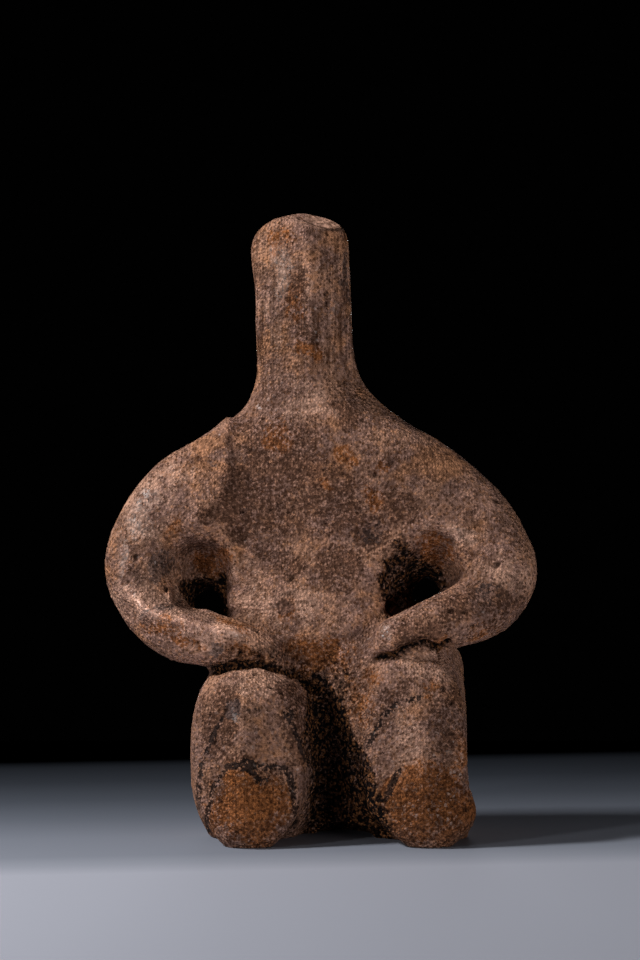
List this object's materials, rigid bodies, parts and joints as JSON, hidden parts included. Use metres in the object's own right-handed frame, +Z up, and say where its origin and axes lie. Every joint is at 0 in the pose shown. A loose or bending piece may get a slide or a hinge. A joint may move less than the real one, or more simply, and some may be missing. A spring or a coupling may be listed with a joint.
{
  "type": "seated terracotta idol",
  "caption": "Small fired-clay idol of a seated figure with a plain pillar for neck and head, sloping slab shoulders and rolled arms brought in to the belly.",
  "frame": {"origin": "on the ground, under the middle of the figure's bounding box", "axes": "+Z up the figure from its seat to its crown; the figure faces -Y; +X is the figure's left"},
  "size_m": [0.0776, 0.03, 0.1115],
  "materials": {
    "terracotta": "unglazed brown low-fired clay with sandy temper, worn burnish and dark painted lines"
  },
  "bodies": {
    "root": {"idol": "terracotta"}
  },
  "joints": []
}
